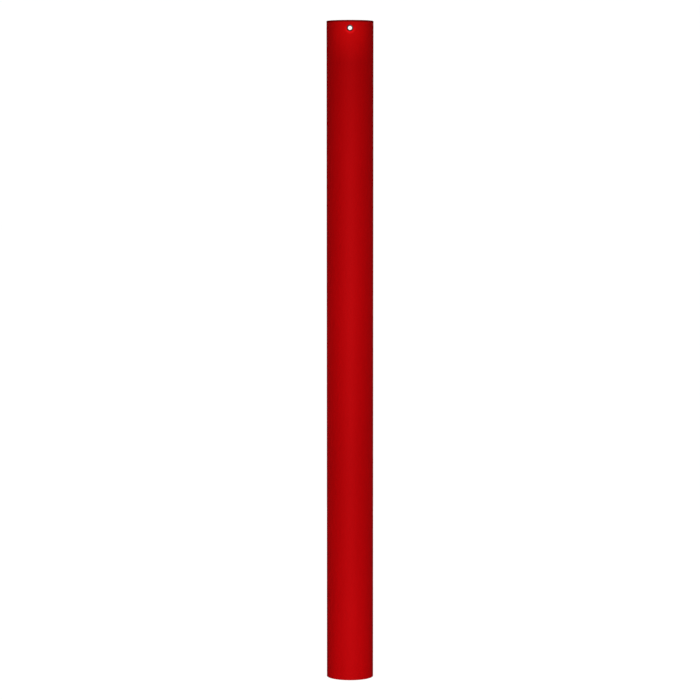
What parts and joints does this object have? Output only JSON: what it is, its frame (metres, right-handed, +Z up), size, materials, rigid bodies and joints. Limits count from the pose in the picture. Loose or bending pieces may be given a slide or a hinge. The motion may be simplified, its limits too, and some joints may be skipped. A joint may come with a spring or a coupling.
{
  "type": "windsock pole",
  "caption": "Straight round red pole tube for a windsock, with a lined and cross-drilled head socket and a drained plug in its foot.",
  "frame": {"origin": "centre of the pole's foot, on the surface that it stands on", "axes": "+Z runs up the pole from its foot to its head, and the cross hole for the retaining pin runs along Y"},
  "size_m": [0.0604, 0.0602, 0.85],
  "materials": {
    "red_powder_coat": "satin",
    "black_nylon": null,
    "black_polyethylene": null
  },
  "bodies": {
    "root": {"pole_tube": "red_powder_coat", "head_liner": "black_nylon", "foot_plug": "black_polyethylene"}
  },
  "joints": []
}
